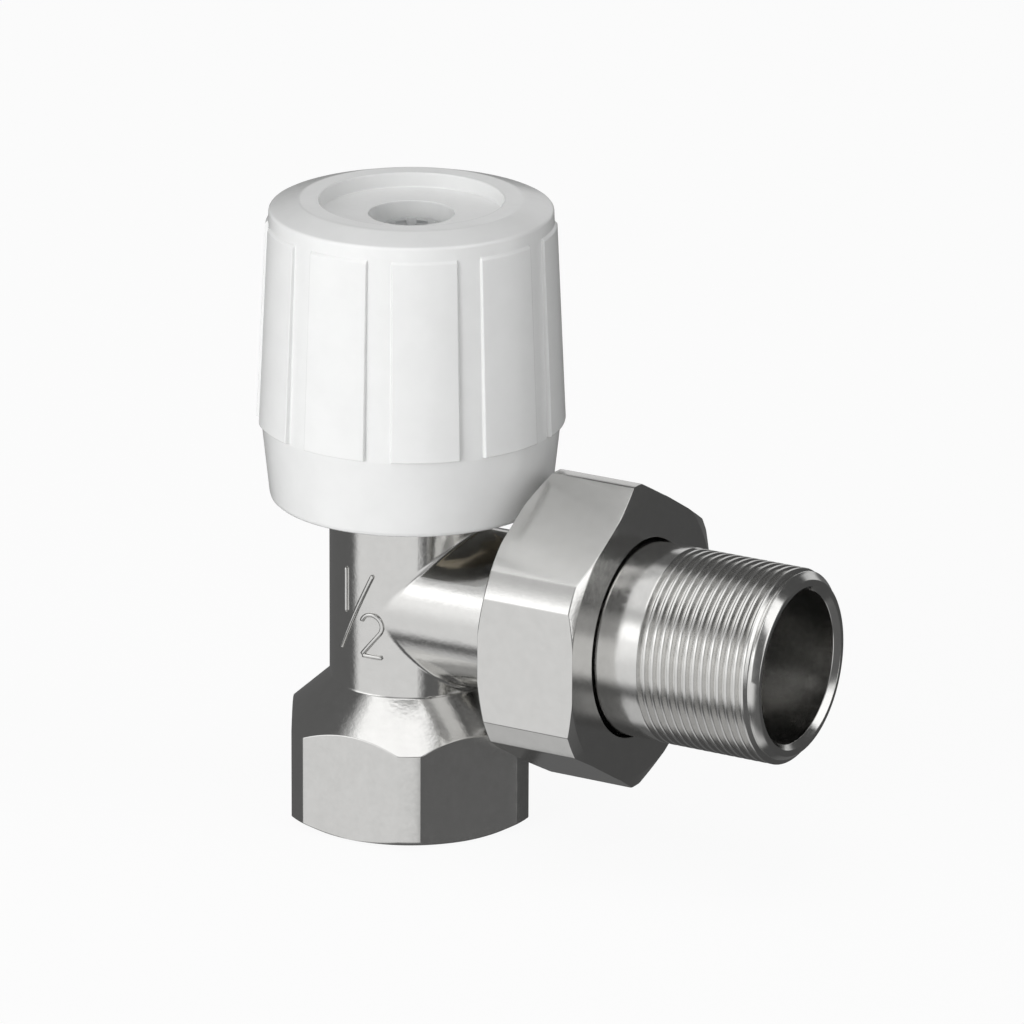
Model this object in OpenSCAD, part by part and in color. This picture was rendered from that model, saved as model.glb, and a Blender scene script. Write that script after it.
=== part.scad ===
// Angle radiator valve with a ribbed handwheel, a union nut and a threaded tailpiece.
// Lengths are in millimetres and angles in degrees.
// The origin is on the inlet axis at the foot of the body. +Z runs up the spindle,
// and +X runs out along the tailpiece. The valve is drawn closed and made up.

/* [Body] */
// Height of the outlet axis above the foot
outlet_z = 24.2; // [24:0.1:26]
// Width of the foot hexagon across its flats
foot_af = 25.5; // [25:0.1:27]
// Depth that is turned off the corners of the foot hexagon
foot_corner_cut = 0.67; // [0.4:0.01:0.9]
// Height of the foot hexagon up to its shoulder
foot_h = 10.5; // [9.8:0.1:10.8]
// Height of the cone between the foot and the neck
shoulder_h = 4.8; // [4.2:0.1:5.2]
// Angle of the chamfers on all hexagons
hex_chamfer_angle = 30; // [20:1:40]
// Radius of the neck and of the outlet branch
neck_r = 8.75; // [8.6:0.05:9.4]
// Height of the neck above the outlet axis
neck_rise = 12.8; // [12.4:0.1:14]
// Height of the raised size marks above the neck
mark_h = 0.22; // [0.1:0.02:0.4]
// Width of the strokes of the size marks
mark_w = 0.5; // [0.3:0.05:0.7]

/* [Inlet thread] */
// Radius over the crests of the inside thread
inlet_crest_r = 9.3; // [9.1:0.05:9.5]
// Radius at the bottom of the inside thread's grooves
inlet_root_r = 10.48; // [10.2:0.01:10.6]
// Pitch of the two pipe threads on the body
pipe_pitch = 1.814; // [1.7:0.002:1.84]
// Turns of the inlet thread
inlet_turns = 6; // [4:1:6]
// Height of the taper from the thread to the seat hole
inlet_taper_h = 1.5; // [0.8:0.1:1.8]

/* [Seat and chamber] */
// Radius of the hole through the seat
seat_r = 5.5; // [5:0.05:5.7]
// Width of the raised rim of the seat
seat_rim_w = 0.7; // [0.4:0.05:1]
// Height of the raised rim of the seat
seat_rim_h = 0.8; // [0.4:0.05:0.9]
// Drop from the outlet axis to the seat
seat_drop = 8.2; // [7.9:0.05:8.6]
// Radius of the chamber, which also takes the bonnet
chamber_r = 7.1; // [7.05:0.05:7.4]
// Radius of the outlet passage
outlet_r = 6.4; // [5.6:0.1:6.6]

/* [Spigot and union nut] */
// Distance from the inlet axis to the start of the spigot thread
spigot_x = 17; // [17:0.1:19]
// Radius over the crests of the spigot thread
spigot_crest_r = 13.22; // [13.1:0.02:13.4]
// Depth of the spigot thread
spigot_thread_depth = 1.16; // [0.9:0.02:1.2]
// Turns of the spigot thread
spigot_turns = 3; // [3:1:4]
// Length of the flare between the branch and the spigot
flare_len = 2.9; // [2.4:0.1:3.2]
// Radius of the recess that takes the tailpiece's nose
recess_r = 9.1; // [8.9:0.05:9.4]
// Depth of that recess
recess_depth = 3; // [2.8:0.1:3.4]
// Width of the union nut across its flats
nut_af = 30; // [29.6:0.1:32]
// Depth that is turned off the corners of the union nut
nut_corner_cut = 0.47; // [0.4:0.01:0.9]
// Radius of the nut's end faces beyond its flats
nut_face_step = 0.25; // [0.1:0.05:0.3]
// Angle that the chamfer at the nut's front makes with its face
nut_chamfer_angle = 22; // [18:1:35]
// Length of the union nut
nut_len = 11.5; // [10.8:0.1:13]
// Thickness of the union nut's lip
nut_lip_t = 2.6; // [2.2:0.1:3]
// Play between the spigot thread and the union nut
nut_thread_gap = 0.13; // [0.1:0.01:0.2]
// Play between the union nut's hole and the tailpiece
nut_hole_gap = 0.48; // [0.3:0.02:0.6]

/* [Tailpiece] */
// Radius of the plain neck of the tailpiece
tail_neck_r = 10.3; // [10.2:0.01:10.32]
// Length of plain neck that shows in front of the nut
tail_neck_len = 4.8; // [4:0.1:6]
// Radius over the crests of the tail thread
tail_crest_r = 10.48; // [10.44:0.01:10.56]
// Depth of the tail thread
tail_thread_depth = 0.56; // [0.4:0.02:0.7]
// Pitch of the tail thread
tail_pitch = 0.98; // [0.8:0.01:1.2]
// Turns of the tail thread
tail_turns = 14; // [10:1:16]
// Length of the chamfer at the outer end
tail_end_chamfer = 0.65; // [0.4:0.05:1.2]
// Radius of the end face of the tailpiece
tail_end_r = 9.4; // [9.1:0.02:9.6]
// Radius of the bore at the outer end
tail_bore_r = 8.2; // [7.8:0.05:8.3]
// Chamfer at the mouth of the bore
tail_mouth_chamfer = 0.6; // [0.2:0.05:0.7]
// Radial play of the nose in its recess
nose_gap = 0.1; // [0.06:0.01:0.2]

/* [Bonnet and gland] */
// Width of the bonnet's hexagon across its flats
bonnet_af = 18; // [17.8:0.1:19]
// Height of the bonnet's hexagon
bonnet_hex_h = 4.5; // [4:0.1:5]
// Length of the bonnet's shank inside the neck
shank_h = 6.2; // [6:0.1:6.6]
// Radius of the bonnet's barrel
barrel_r = 6.8; // [6.6:0.05:7]
// Length of the travel thread inside the bonnet
travel_bore_h = 7.9; // [7.8:0.1:8.2]
// Height of the packing chamber in the barrel
packing_h = 5; // [4.8:0.1:5.4]
// Radius of the packing chamber
packing_r = 5.2; // [5.1:0.05:5.4]
// Thickness of the gland washer
gland_washer_t = 0.6; // [0.4:0.1:0.8]
// Height of the packing ring
packing_ring_h = 2.6; // [2.2:0.1:2.8]
// Width of the gland nut across its flats
gland_af = 13; // [12.6:0.1:14]
// Height of the gland nut's hexagon
gland_hex_h = 3; // [2.8:0.1:3.4]
// Thickness of the rubber rings on the spindle
ring_section = 1.42; // [1.3:0.02:1.5]
// Play of pieces that are screwed into each other
screw_gap = 0.05; // [0.02:0.01:0.08]

/* [Spindle] */
// Radius of the spindle
spindle_r = 3.5; // [3.4:0.02:3.6]
// Radius over the spindle's travel thread
travel_r = 4.6; // [4.4:0.05:4.7]
// Length of the spindle's travel thread
travel_thread_len = 10; // [9.6:0.1:10.2]
// Pitch of the travel thread
travel_pitch = 1.5; // [1.3:0.05:1.5]
// Turns of the handwheel from shut to fully open
travel_turns = 2.5; // [2:0.25:2.5]
// Width of the square end of the spindle
square_af = 4.9; // [4.7:0.05:4.95]
// Running play around the spindle
spindle_gap = 0.05; // [0.03:0.01:0.08]

/* [Plug] */
// Radius of the plug
plug_r = 6.5; // [6.3:0.05:6.7]
// Thickness of the seal disc
disc_t = 2; // [1.8:0.1:2.2]
// Height by which the seal disc stands out of the plug
disc_stand = 0.6; // [0.4:0.05:0.8]
// Thickness of the plug's plate above the disc
plug_plate_t = 2; // [1.8:0.1:2.2]
// Wall of the plug's cup around the disc
plug_cup_wall = 0.5; // [0.4:0.05:0.7]
// Radius of the spindle's foot inside the plug
spindle_foot_r = 3.4; // [3.2:0.05:3.45]
// Thickness of the spindle's foot
spindle_foot_t = 1.4; // [1.2:0.1:1.5]
// Radius of the spindle between its foot and its travel thread
waist_r = 2.4; // [2.2:0.05:2.5]
// Thickness of the retaining clip in the plug
clip_t = 0.7; // [0.5:0.05:0.8]
// Wall of the plug's socket
socket_wall = 1.7; // [1.5:0.05:1.9]
// Radius of the seal screw's shank
seal_screw_r = 1.25; // [1:0.05:1.5]
// Radius of the seal screw's head
seal_head_r = 2.3; // [2.1:0.05:2.6]
// Height of the seal screw's head
seal_head_h = 1.4; // [1.2:0.1:1.6]
// Radius of the washer under the seal disc
seal_washer_r = 3.3; // [3:0.05:3.8]
// Thickness of that washer
seal_washer_t = 0.6; // [0.4:0.05:0.7]

/* [Handwheel] */
// Height of the handwheel
wheel_h = 32.9; // [31:0.1:36]
// Height of the skirt that laps over the neck
skirt_lap = 1.55; // [1:0.05:2]
// Outer radius of the skirt's foot
skirt_foot_r = 15.08; // [14.8:0.02:15.2]
// Radius where the skirt meets the ribbed part
skirt_top_r = 16; // [15.8:0.02:16.1]
// Height of the skirt
skirt_h = 8.5; // [7.5:0.1:9.5]
// Radius of the shoulder at the top of the ribbed part
wheel_shoulder_r = 15.15; // [15:0.02:15.3]
// Inner radius of the flat ring on top
top_ring_r = 11.95; // [11.4:0.05:12.4]
// Drop of the sloping top from that ring to the shoulder
top_drop = 0.98; // [0.7:0.02:1.3]
// Radius of the dish in the top
dish_r = 9.84; // [9.4:0.02:10.2]
// Depth of the dish
dish_depth = 1.55; // [1.2:0.05:1.8]
// Thickness of the top plate under the dish
plate_t = 2; // [1.6:0.1:2.4]
// Wall thickness of the handwheel
wheel_wall = 1.7; // [1.4:0.05:1.9]
// Rounding of the skirt's foot
skirt_round = 0.6; // [0.3:0.05:0.65]
// Number of ribs
rib_count = 10; // [8:1:12]
// Angle that one rib covers
rib_angle = 26; // [22:1:28]
// Direction of the first rib from the tailpiece
rib_first_angle = 18; // [0:1:36]
// Height of the ribs at their foot above the wheel
rib_foot_h = 0.52; // [0.3:0.02:0.6]
// Height of the ribs at their head above the wheel
rib_head_h = 0.3; // [0.2:0.02:0.4]
// Length of the ribs
rib_len = 21.8; // [20:0.1:22]
// Radius of the hub
hub_r = 6; // [5.9:0.05:6.6]
// Radius of the well for the screw
well_r = 4.57; // [4.5:0.01:4.7]
// Depth of the well below the dish
well_depth = 3.5; // [3.2:0.1:3.8]
// Thickness of the web under the screw
web_t = 2; // [1.8:0.1:2.4]
// Radius of the handwheel screw's head
wheel_head_r = 3.3; // [3.1:0.05:3.6]
// Height of the handwheel screw's head
wheel_head_h = 2; // [1.8:0.1:2.2]
// Rise of the dome on that head
wheel_head_dome = 0.8; // [0.5:0.05:1]
// Radius of the handwheel screw's shank
wheel_screw_r = 1.5; // [1.3:0.05:1.6]
// Depth of the screw in the spindle
wheel_screw_depth = 7; // [5:0.1:8]
// Thickness of the washer under the screw
wheel_washer_t = 0.6; // [0.4:0.05:0.7]
// Width of the arms of the screw's cross recess
cross_w = 1.2; // [0.9:0.05:1.3]
// Span of the cross recess
cross_span = 4.2; // [3.6:0.1:4.6]
// Depth of the cross recess
cross_depth = 1.3; // [1:0.05:1.4]

/* [Hidden] */
$fn = 96;

// Overrun of cuts, small edge breaks and the play between faces that meet
cut = 1;
edge = 0.3;
face_gap = 0.1;
small_gap = 0.03;

// Shares of a thread's pitch that its flanks, its crests and its grooves take
rise_share = 0.3;
crest_share = 0.28;
groove_share = 1 - 2 * rise_share - crest_share;

// Levels and corners of the body
foot_corner_r = foot_af / 2 / cos(30) - foot_corner_cut;
shoulder_z = foot_h + shoulder_h;
seat_z = outlet_z - seat_drop;
floor_z = seat_z - seat_rim_h;
neck_z = outlet_z + neck_rise;
inlet_z0 = edge + crest_share * pipe_pitch;
inlet_z1 = inlet_z0 + inlet_turns * pipe_pitch;

// Levels of the bonnet and the gland
shank_z = neck_z - shank_h;
shank_r = chamber_r - screw_gap;
travel_top_z = shank_z + travel_bore_h;
guide_r = spindle_r + spindle_gap;
travel_bore_r = travel_r + spindle_gap;
ring_in_r = spindle_r + small_gap;
ring_groove_r = ring_in_r + ring_section + small_gap;
ring_groove_h = ring_section + 2 * face_gap;
lower_ring_z = travel_top_z + edge + ring_section;
packing_z = lower_ring_z + ring_section + edge;
barrel_z = packing_z + packing_h;
gland_ring_z = packing_z + gland_washer_t;
gland_foot_z = gland_ring_z + packing_ring_h;
gland_top_z = barrel_z + gland_hex_h;
upper_ring_z = barrel_z + gland_hex_h / 2;
bonnet_hex_z = neck_z + bonnet_hex_h;
bonnet_ring_w = 0.85;
bonnet_ring_r = shank_r - bonnet_ring_w;
bonnet_ring_h = 1.3;

// Levels of the plug, and the share of its plate that the seal screw bites into
socket_rim_h = 1.36;
seal_bite_share = 0.7;
disc_z = seat_z + disc_t;
plug_z = seat_z + disc_stand;
disc_r = plug_r - plug_cup_wall - small_gap;
socket_z = disc_z + plug_plate_t;
socket_r = spindle_foot_r + face_gap;
spindle_foot_z = socket_z + small_gap;
clip_z = spindle_foot_z + spindle_foot_t + face_gap;
clip_in_r = waist_r + face_gap;
clip_out_r = socket_r + socket_wall / 2;
plug_top_z = clip_z + clip_t + socket_rim_h;
seal_washer_z = seat_z - seal_washer_t;
seal_head_z = seal_washer_z - seal_head_h;
seal_screw_top_z = disc_z + plug_plate_t * seal_bite_share;

// Levels of the handwheel and the spindle
hub_gap = 1.2;
travel = travel_pitch * travel_turns;
thread_z1 = travel_top_z - travel - edge;
thread_z0 = thread_z1 - travel_thread_len;
wheel_z = neck_z - skirt_lap;
wheel_top_z = wheel_z + wheel_h;
skirt_top_z = wheel_z + skirt_h;
wheel_shoulder_z = wheel_top_z - top_drop;
dish_z = wheel_top_z - dish_depth;
ceiling_z = dish_z - plate_t;
well_z = dish_z - well_depth;
web_z = well_z - web_t;
hub_z = gland_top_z + hub_gap;
spindle_top_z = web_z - face_gap;
wheel_head_z = well_z + wheel_washer_t;
wheel_head_top_z = wheel_head_z + wheel_head_h;
wheel_screw_z = spindle_top_z - wheel_screw_depth;

// Places along the tailpiece
collar_gap = 0.7;
nut_x1 = spigot_x + nut_len;
nut_corner_r = nut_af / 2 / cos(30) - nut_corner_cut;
nut_bore_r = spigot_crest_r + nut_thread_gap;
nut_hole_r = tail_neck_r + nut_hole_gap;
spigot_root_r = spigot_crest_r - spigot_thread_depth;
spigot_x1 = spigot_x + spigot_turns * pipe_pitch;
recess_x = spigot_x1 - recess_depth;
lip_x = nut_x1 - nut_lip_t;
nose_x = recess_x + 2 * face_gap;
nose_r = recess_r - nose_gap;
collar_x0 = spigot_x1 + face_gap;
collar_x1 = lip_x - face_gap;
collar_r = nut_bore_r - collar_gap;
tail_ring_section = 1.3;
tail_ring_x = (nose_x + spigot_x1) / 2;
tail_ring_out_r = recess_r - small_gap;
tail_groove_r = tail_ring_out_r - tail_ring_section - small_gap;
tail_groove_w = tail_ring_section + 2 * face_gap;
tail_root_r = tail_crest_r - tail_thread_depth;
tail_thread_x0 = nut_x1 + tail_neck_len;
tail_thread_x1 = tail_thread_x0 + tail_turns * tail_pitch;
tail_x1 = tail_thread_x1 + tail_end_chamfer;
bore_step_x = collar_x1 + tail_ring_section;
bore_full_x = bore_step_x + tail_bore_r - outlet_r;

// Places of the size marks, from the mark's own centre line and the outlet axis
mark_one_x = -3.17;
mark_one_z = [-0.3, 4.9];
mark_slash = [[-4.06, -4.55], [0.54, 4.7]];
mark_two_x = 0.3;
mark_two_z = -4.8;
mark_two_w = 3;
mark_two_h = 5.2;
mark_two_angle = 35;

nickel = [0.76, 0.75, 0.73];
steel = [0.6, 0.6, 0.61];
brass = [0.78, 0.64, 0.36];
rubber = [0.08, 0.08, 0.09];
white = [0.94, 0.94, 0.93];

// Points of a run of thread turns, as radius and place, from the foot of the first turn on
function turns(high, low, start, pitch, count, high_share) = [
    for (i = [0 : count - 1], k = [0 : 3])
        let (share = [0, rise_share, rise_share + high_share, 2 * rise_share + high_share][k])
            [k == 0 || k == 3 ? low : high, start + (i + share) * pitch]
];

// Points of an arc about a centre, as radius and place
function arc(centre, r, from, to, steps = 6) = [
    for (i = [0 : steps])
        let (a = from + (to - from) * i / steps)
            [centre[0] + r * cos(a), centre[1] + r * sin(a)]
];

// Radius of the wheel's plain side at a height
function wheel_side_r(z) =
    skirt_top_r + (wheel_shoulder_r - skirt_top_r) * (z - skirt_top_z) / (wheel_shoulder_z - skirt_top_z);

// Places its children, drawn upright, along the tailpiece's axis
module along_x() {
    translate([0, 0, outlet_z]) rotate([0, 90, 0]) children();
}

// Ring of one height
module ring(in_r, out_r, z, h) {
    difference() {
        translate([0, 0, z]) cylinder(r = out_r, h = h);
        translate([0, 0, z - cut]) cylinder(r = in_r, h = h + 2 * cut);
    }
}

// Rubber ring with a round section
module o_ring(in_r, section, z) {
    rotate_extrude()
        translate([in_r + section / 2, z]) circle(d = section, $fn = 32);
}

// Hexagonal bar with turned corners, chamfered at its foot, its head or both
module turned_hex(af, corner_r, z0, z1, foot, head) {
    face_r = af / 2;
    drop = (corner_r - face_r) * tan(hex_chamfer_angle);
    intersection() {
        translate([0, 0, z0]) cylinder(d = af / cos(30), h = z1 - z0, $fn = 6);
        rotate_extrude() polygon([
            [0, z0], [foot ? face_r : corner_r, z0], [corner_r, z0 + (foot ? drop : cut / 2)],
            [corner_r, z1 - (head ? drop : cut / 2)], [head ? face_r : corner_r, z1], [0, z1]
        ]);
    }
}

// Foot hexagon with the cone above it
module body_foot() {
    face_r = foot_af / 2;
    intersection() {
        cylinder(d = foot_af / cos(30), h = shoulder_z, $fn = 6);
        rotate_extrude() polygon([
            [0, 0], [face_r, 0], [foot_corner_r, (foot_corner_r - face_r) * tan(hex_chamfer_angle)],
            [foot_corner_r, foot_h], [neck_r, shoulder_z], [0, shoulder_z]
        ]);
    }
}

// Outlet branch with its flare and its threaded spigot
module body_branch() {
    along_x() rotate_extrude() polygon(concat(
        [[0, 0], [neck_r, 0], [neck_r, spigot_x - flare_len], [spigot_root_r, spigot_x]],
        turns(spigot_crest_r, spigot_root_r, spigot_x, pipe_pitch, spigot_turns, crest_share),
        [[spigot_root_r, spigot_x1], [0, spigot_x1]]
    ));
}

// Straight stroke of a size mark between two points in the plane of the mark
module stroke(from, to) {
    run = to - from;
    translate(from) rotate(atan2(run[1], run[0]))
        translate([0, -mark_w / 2]) square([norm(run), mark_w]);
    for (end = [from, to]) translate(end) circle(d = mark_w, $fn = 24);
}

// The figure two, built from a ring, a slant and a base
module figure_two() {
    r = mark_two_w / 2 - mark_w / 2;
    head = [mark_two_x, mark_two_z + mark_two_h - mark_w / 2 - r];
    foot = [mark_two_x - r, mark_two_z + mark_w / 2];
    turn = head + r * [cos(mark_two_angle), -sin(mark_two_angle)];
    translate(head) difference() {
        circle(r = r + mark_w / 2, $fn = 48);
        circle(r = r - mark_w / 2, $fn = 48);
        rotate(-mark_two_angle) translate([-mark_two_w, -mark_two_w]) square([2 * mark_two_w, mark_two_w]);
    }
    stroke(turn, foot);
    stroke(foot, foot + [2 * r, 0]);
}

// Raised size marks on the side of the neck
module size_marks() {
    intersection() {
        ring(neck_r - edge, neck_r + mark_h, shoulder_z, neck_z - shoulder_z);
        translate([0, -neck_r / 2, outlet_z]) rotate([90, 0, 0]) linear_extrude(height = neck_r) {
            stroke([mark_one_x, mark_one_z[0]], [mark_one_x, mark_one_z[1]]);
            stroke(mark_slash[0], mark_slash[1]);
            figure_two();
        }
    }
}

// Inlet thread, seat hole, chamber and outlet passage
module body_passages() {
    rotate_extrude() polygon(concat(
        [[0, -cut], [inlet_crest_r + edge, -cut], [inlet_crest_r + edge, 0], [inlet_crest_r, edge]],
        turns(inlet_root_r, inlet_crest_r, inlet_z0, pipe_pitch, inlet_turns, groove_share),
        [
            [inlet_crest_r, inlet_z1], [seat_r, inlet_z1 + inlet_taper_h], [seat_r, seat_z],
            [seat_r + edge / 2, seat_z + cut], [0, seat_z + cut]
        ]
    ));
    rotate_extrude() polygon([
        [0, seat_z], [seat_r + seat_rim_w, seat_z], [seat_r + seat_rim_w, floor_z], [chamber_r, floor_z],
        [chamber_r, neck_z - edge], [chamber_r + edge, neck_z], [chamber_r + edge, neck_z + cut],
        [0, neck_z + cut]
    ]);
    along_x() {
        cylinder(r = outlet_r, h = spigot_x1 + cut);
        translate([0, 0, recess_x]) cylinder(r = recess_r, h = recess_depth + cut);
    }
}

module valve_body() {
    color(nickel) difference() {
        union() {
            body_foot();
            translate([0, 0, foot_h]) cylinder(r = neck_r, h = neck_z - foot_h);
            body_branch();
            size_marks();
        }
        body_passages();
    }
}

module bonnet() {
    color(brass) difference() {
        union() {
            rotate_extrude() polygon([
                [0, shank_z], [shank_r - edge, shank_z], [shank_r, shank_z + edge],
                [shank_r, neck_z - bonnet_ring_h - face_gap],
                [bonnet_ring_r, neck_z - bonnet_ring_h - face_gap], [bonnet_ring_r, neck_z + edge],
                [barrel_r, neck_z + edge], [barrel_r, barrel_z - edge], [barrel_r - edge, barrel_z],
                [0, barrel_z]
            ]);
            turned_hex(bonnet_af, bonnet_af / 2 / cos(30) - edge, neck_z, bonnet_hex_z, false, true);
        }
        rotate_extrude() polygon([
            [0, shank_z - cut], [travel_bore_r, shank_z - cut], [travel_bore_r, travel_top_z],
            [guide_r, travel_top_z], [guide_r, lower_ring_z - ring_groove_h / 2],
            [ring_groove_r, lower_ring_z - ring_groove_h / 2],
            [ring_groove_r, lower_ring_z + ring_groove_h / 2],
            [guide_r, lower_ring_z + ring_groove_h / 2], [guide_r, packing_z],
            [packing_r, packing_z], [packing_r, barrel_z + cut], [0, barrel_z + cut]
        ]);
    }
}

module bonnet_o_ring() {
    color(rubber)
        ring(bonnet_ring_r + small_gap, shank_r, neck_z - bonnet_ring_h, bonnet_ring_h - small_gap);
}

module spindle_o_ring_lower() {
    color(rubber) o_ring(ring_in_r, ring_section, lower_ring_z);
}

module gland_washer() {
    color(steel) ring(guide_r + small_gap, packing_r - face_gap, packing_z, gland_washer_t);
}

module packing_ring() {
    color(white) ring(guide_r, packing_r - screw_gap, gland_ring_z, packing_ring_h);
}

module gland_nut() {
    color(brass) difference() {
        union() {
            translate([0, 0, gland_foot_z]) cylinder(r = packing_r - screw_gap, h = barrel_z - gland_foot_z + edge);
            turned_hex(gland_af, gland_af / 2 / cos(30) - edge, barrel_z, gland_top_z, false, true);
        }
        rotate_extrude() polygon([
            [0, gland_foot_z - cut], [guide_r, gland_foot_z - cut],
            [guide_r, upper_ring_z - ring_groove_h / 2], [ring_groove_r, upper_ring_z - ring_groove_h / 2],
            [ring_groove_r, upper_ring_z + ring_groove_h / 2], [guide_r, upper_ring_z + ring_groove_h / 2],
            [guide_r, gland_top_z + cut], [0, gland_top_z + cut]
        ]);
    }
}

module spindle_o_ring_upper() {
    color(rubber) o_ring(ring_in_r, ring_section, upper_ring_z);
}

module spindle() {
    color(steel) difference() {
        union() {
            rotate_extrude() polygon([
                [0, spindle_foot_z], [spindle_foot_r, spindle_foot_z],
                [spindle_foot_r, spindle_foot_z + spindle_foot_t], [waist_r, spindle_foot_z + spindle_foot_t],
                [waist_r, thread_z0], [travel_r - edge, thread_z0], [travel_r, thread_z0 + edge],
                [travel_r, thread_z1 - edge], [travel_r - edge, thread_z1], [spindle_r, thread_z1],
                [spindle_r, hub_z - edge], [square_af / 2, hub_z], [0, hub_z]
            ]);
            translate([-square_af / 2, -square_af / 2, hub_z - edge])
                cube([square_af, square_af, spindle_top_z - hub_z + edge]);
        }
        translate([0, 0, wheel_screw_z - edge])
            cylinder(r = wheel_screw_r + small_gap, h = wheel_screw_depth + edge + cut);
    }
}

module spindle_clip() {
    color(steel) ring(clip_in_r, clip_out_r, clip_z, clip_t);
}

module plug() {
    color(brass) difference() {
        rotate_extrude() polygon([
            [0, plug_z], [plug_r - edge, plug_z], [plug_r, plug_z + edge], [plug_r, socket_z - edge],
            [plug_r - edge, socket_z], [socket_r + socket_wall, socket_z],
            [socket_r + socket_wall, plug_top_z - edge], [socket_r + socket_wall - edge, plug_top_z],
            [0, plug_top_z]
        ]);
        translate([0, 0, plug_z - cut]) cylinder(r = disc_r + small_gap, h = disc_z - plug_z + cut);
        translate([0, 0, disc_z - cut])
            cylinder(r = seal_screw_r + small_gap, h = seal_screw_top_z - disc_z + cut + small_gap);
        rotate_extrude() polygon([
            [0, socket_z], [socket_r, socket_z], [socket_r, clip_z - small_gap],
            [clip_out_r + small_gap, clip_z - small_gap],
            [clip_out_r + small_gap, clip_z + clip_t + small_gap],
            [socket_r, clip_z + clip_t + small_gap], [socket_r, plug_top_z + cut], [0, plug_top_z + cut]
        ]);
    }
}

module seal_disc() {
    color(rubber) ring(seal_screw_r + small_gap, disc_r, seat_z, disc_t);
}

module seal_washer() {
    color(steel) ring(seal_screw_r + small_gap, seal_washer_r, seal_washer_z, seal_washer_t);
}

module seal_screw() {
    color(steel) difference() {
        union() {
            translate([0, 0, seal_head_z]) cylinder(r = seal_head_r, h = seal_head_h);
            translate([0, 0, seal_washer_z]) cylinder(r = seal_screw_r, h = seal_screw_top_z - seal_washer_z);
        }
        translate([-seal_head_r - cut, -cross_w / 4, seal_head_z - cut])
            cube([2 * (seal_head_r + cut), cross_w / 2, cut + seal_head_h / 2]);
    }
}

// Outside of the handwheel, turned in one piece
module wheel_outside() {
    rotate_extrude() polygon(concat(
        [[0, wheel_z]],
        arc([skirt_foot_r - skirt_round, wheel_z + skirt_round], skirt_round, -90, 0),
        [[skirt_top_r, skirt_top_z]],
        arc([wheel_shoulder_r - edge, wheel_shoulder_z - edge], edge, 0, 72),
        [[top_ring_r, wheel_top_z], [dish_r + edge / 2, wheel_top_z]],
        [[dish_r, wheel_top_z - edge / 2], [dish_r, dish_z], [0, dish_z]]
    ));
}

// One grip rib, which stands on the wheel's side
module wheel_rib() {
    z0 = skirt_top_z + edge / 2;
    z1 = z0 + rib_len;
    rotate([0, 0, -rib_angle / 2]) rotate_extrude(angle = rib_angle) polygon([
        [wheel_side_r(z0) - edge, z0], [wheel_side_r(z0) + rib_foot_h - edge / 2, z0],
        [wheel_side_r(z0) + rib_foot_h, z0 + edge], [wheel_side_r(z1) + rib_head_h, z1 - edge],
        [wheel_side_r(z1), z1], [wheel_side_r(z1) - edge, z1]
    ]);
}

// Hollow between the shell and the hub
module wheel_hollow() {
    rotate_extrude() polygon([
        [0, wheel_z - cut], [skirt_foot_r - wheel_wall, wheel_z - cut], [skirt_foot_r - wheel_wall, wheel_z],
        [skirt_top_r - wheel_wall, skirt_top_z], [wheel_shoulder_r - wheel_wall, ceiling_z - edge],
        [wheel_shoulder_r - wheel_wall - edge, ceiling_z], [hub_r, ceiling_z], [hub_r, hub_z], [0, hub_z]
    ]);
}

module handwheel() {
    socket = square_af + 2 * spindle_gap;
    color(white) difference() {
        union() {
            wheel_outside();
            for (i = [0 : rib_count - 1]) rotate([0, 0, rib_first_angle + i * 360 / rib_count]) wheel_rib();
        }
        wheel_hollow();
        translate([0, 0, well_z]) cylinder(r = well_r, h = well_depth + cut);
        translate([0, 0, web_z - cut]) cylinder(r = wheel_screw_r + face_gap, h = web_t + 2 * cut);
        translate([-socket / 2, -socket / 2, hub_z - cut]) cube([socket, socket, web_z - hub_z + cut]);
    }
}

module handwheel_screw() {
    dome_r = (pow(wheel_head_r, 2) + pow(wheel_head_dome, 2)) / (2 * wheel_head_dome);
    color(steel) difference() {
        union() {
            intersection() {
                translate([0, 0, wheel_head_z]) cylinder(r = wheel_head_r, h = wheel_head_h);
                translate([0, 0, wheel_head_top_z - dome_r]) sphere(r = dome_r);
            }
            translate([0, 0, wheel_screw_z]) cylinder(r = wheel_screw_r, h = wheel_head_z - wheel_screw_z + edge);
        }
        for (a = [0, 90]) rotate([0, 0, a])
            translate([-cross_span / 2, -cross_w / 2, wheel_head_top_z - cross_depth])
                cube([cross_span, cross_w, cross_depth + cut]);
    }
}

module screw_washer() {
    color(steel) ring(wheel_screw_r + face_gap, well_r - edge, well_z, wheel_washer_t);
}

module union_nut() {
    face_r = nut_af / 2 + nut_face_step;
    back_drop = (nut_corner_r - face_r) * tan(hex_chamfer_angle);
    front_drop = (nut_corner_r - face_r) * tan(nut_chamfer_angle);
    color(nickel) along_x() difference() {
        intersection() {
            translate([0, 0, spigot_x]) cylinder(d = nut_af / cos(30), h = nut_len, $fn = 6);
            rotate_extrude() polygon([
                [0, spigot_x], [face_r, spigot_x], [nut_corner_r, spigot_x + back_drop],
                [nut_corner_r, nut_x1 - front_drop], [face_r, nut_x1], [0, nut_x1]
            ]);
        }
        rotate_extrude() polygon([
            [0, spigot_x - cut], [nut_bore_r + 2 * edge, spigot_x - cut], [nut_bore_r + 2 * edge, spigot_x],
            [nut_bore_r, spigot_x + 2 * edge], [nut_bore_r, lip_x], [nut_hole_r, lip_x],
            [nut_hole_r, nut_x1 - edge], [nut_hole_r + edge, nut_x1], [nut_hole_r + edge, nut_x1 + cut],
            [0, nut_x1 + cut]
        ]);
    }
}

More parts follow.
